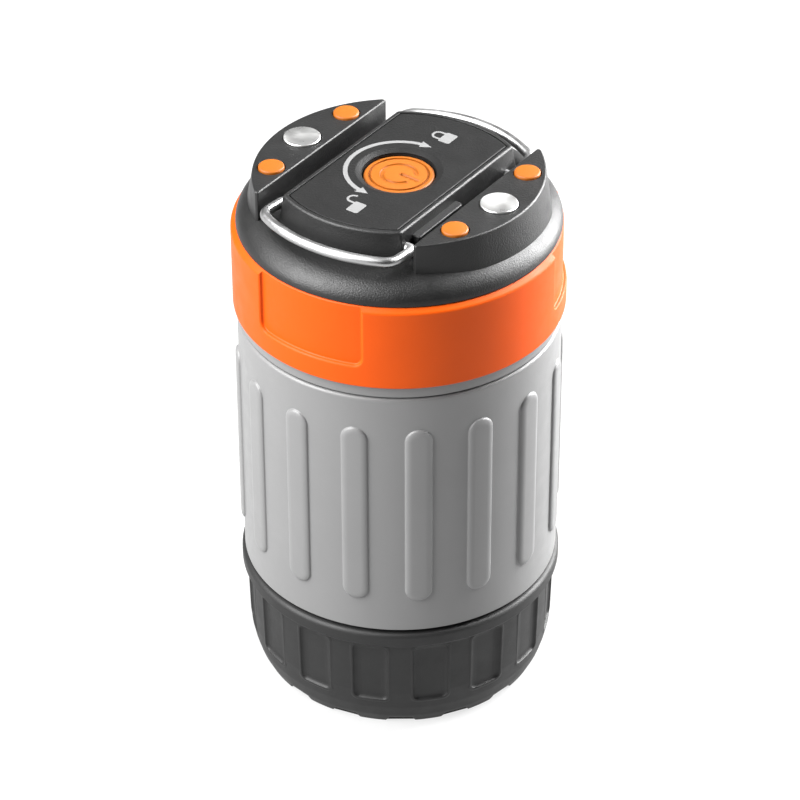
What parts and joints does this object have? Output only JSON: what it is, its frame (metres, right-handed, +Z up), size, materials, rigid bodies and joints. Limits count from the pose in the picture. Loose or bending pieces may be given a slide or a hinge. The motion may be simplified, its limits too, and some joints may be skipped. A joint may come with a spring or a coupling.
{
  "type": "collapsible lantern flashlight",
  "caption": "Twist-and-pull pop-up lantern with a flashlight in its base, ribbed grip, push button, magnets and folding wire bails.",
  "frame": {"origin": "centre of the standing face, under the flashlight bezel", "axes": "+Z up along the body towards the cap, +Y along the two slots of the cap, -Y the end with the open-lock mark"},
  "size_m": [0.086, 0.086, 0.1505],
  "materials": {
    "black_plastic": "fine spark-eroded satin",
    "charcoal_plate": "matte",
    "grey_plastic": "satin",
    "orange_plastic": "semi-gloss",
    "orange_rubber": "matte soft touch",
    "seal_rubber": "matte",
    "bail_chrome": "polished plate",
    "magnet_nickel": "nickel plate",
    "screw_steel": "zinc plate",
    "contact_metal": "nickel plate",
    "cell_wrap": "printed sleeve",
    "white_plastic": "gloss white",
    "frosted_plastic": "frosted translucent",
    "clear_lens": "clear",
    "mirror_coat": "vacuum metallised",
    "board_green": "solder mask",
    "led_phosphor": "silicone dome"
  },
  "bodies": {
    "bezel": {"bezel": "black_plastic", "lens_gasket": "seal_rubber", "flashlight_lens": "clear_lens", "flashlight_reflector": "mirror_coat"},
    "thread_ring": {"thread_seal": "seal_rubber"},
    "barrel": {"grip_sleeve": "grey_plastic", "inner_barrel": "black_plastic", "bulkhead": "white_plastic", "stop_ring": "black_plastic", "flashlight_board": "white_plastic", "flashlight_led": "led_phosphor", "core_tube": "white_plastic", "battery_carrier": "black_plastic", "battery_1": "cell_wrap", "battery_2": "cell_wrap", "battery_3": "cell_wrap", "battery_spring_1": "contact_metal", "battery_spring_2": "contact_metal", "battery_spring_3": "contact_metal", "battery_contact_1": "contact_metal", "battery_contact_2": "contact_metal", "battery_contact_3": "contact_metal", "lantern_board": "white_plastic", "lantern_led": "led_phosphor"},
    "guide": {"guide_ring": "seal_rubber"},
    "head": {"cap_shell": "black_plastic", "label_plate": "charcoal_plate", "switch_board": "board_green", "tact_switch": "black_plastic", "collar_ring": "orange_plastic", "lock_collar": "grey_plastic", "cap_seal": "seal_rubber", "head_floor": "white_plastic", "floor_screw_1": "screw_steel", "floor_screw_2": "screw_steel", "floor_screw_3": "screw_steel", "board_screw_1": "screw_steel", "board_screw_2": "screw_steel", "board_screw_3": "screw_steel", "foot_pad_1": "orange_rubber", "foot_pad_2": "orange_rubber", "foot_pad_3": "orange_rubber", "foot_pad_4": "orange_rubber", "magnet_1": "magnet_nickel", "magnet_2": "magnet_nickel", "diffuser_tube": "frosted_plastic", "lantern_reflector": "mirror_coat"},
    "button": {"power_button": "orange_rubber"},
    "front_bail": {"bail_front": "bail_chrome"},
    "rear_bail": {"bail_rear": "bail_chrome"}
  },
  "joints": [
    {"name": "bezel_rise", "type": "slide", "parent": "bezel", "child": "thread_ring", "axis": [0, 0, 1], "range_m": [0, 0.006]},
    {"name": "body_unscrew", "type": "hinge", "parent": "thread_ring", "child": "barrel", "pos_m": [0, 0, 0.03], "axis": [0, 0, 1], "range_deg": [0, 360]},
    {"name": "column_lift", "type": "slide", "parent": "barrel", "child": "guide", "axis": [0, 0, 1], "range_m": [0, 0.05]},
    {"name": "head_twist", "type": "hinge", "parent": "guide", "child": "head", "pos_m": [0, 0, 0.11], "axis": [0, 0, 1], "range_deg": [0, 30]},
    {"name": "button_press", "type": "slide", "parent": "head", "child": "button", "axis": [0, 0, -1], "range_m": [0, 0.0012], "stiffness_N_per_m": 800},
    {"name": "front_bail_swing", "type": "hinge", "parent": "head", "child": "front_bail", "pos_m": [0, -0.022, 0.1439], "axis": [-1, 0, 0], "range_deg": [0, 100]},
    {"name": "rear_bail_swing", "type": "hinge", "parent": "head", "child": "rear_bail", "pos_m": [0, 0.022, 0.1439], "axis": [1, 0, 0], "range_deg": [0, 100]}
  ],
  "couplings": [
    {"joint": "bezel_rise", "follows": "body_unscrew", "m_per_rad": 0.00095493}
  ]
}
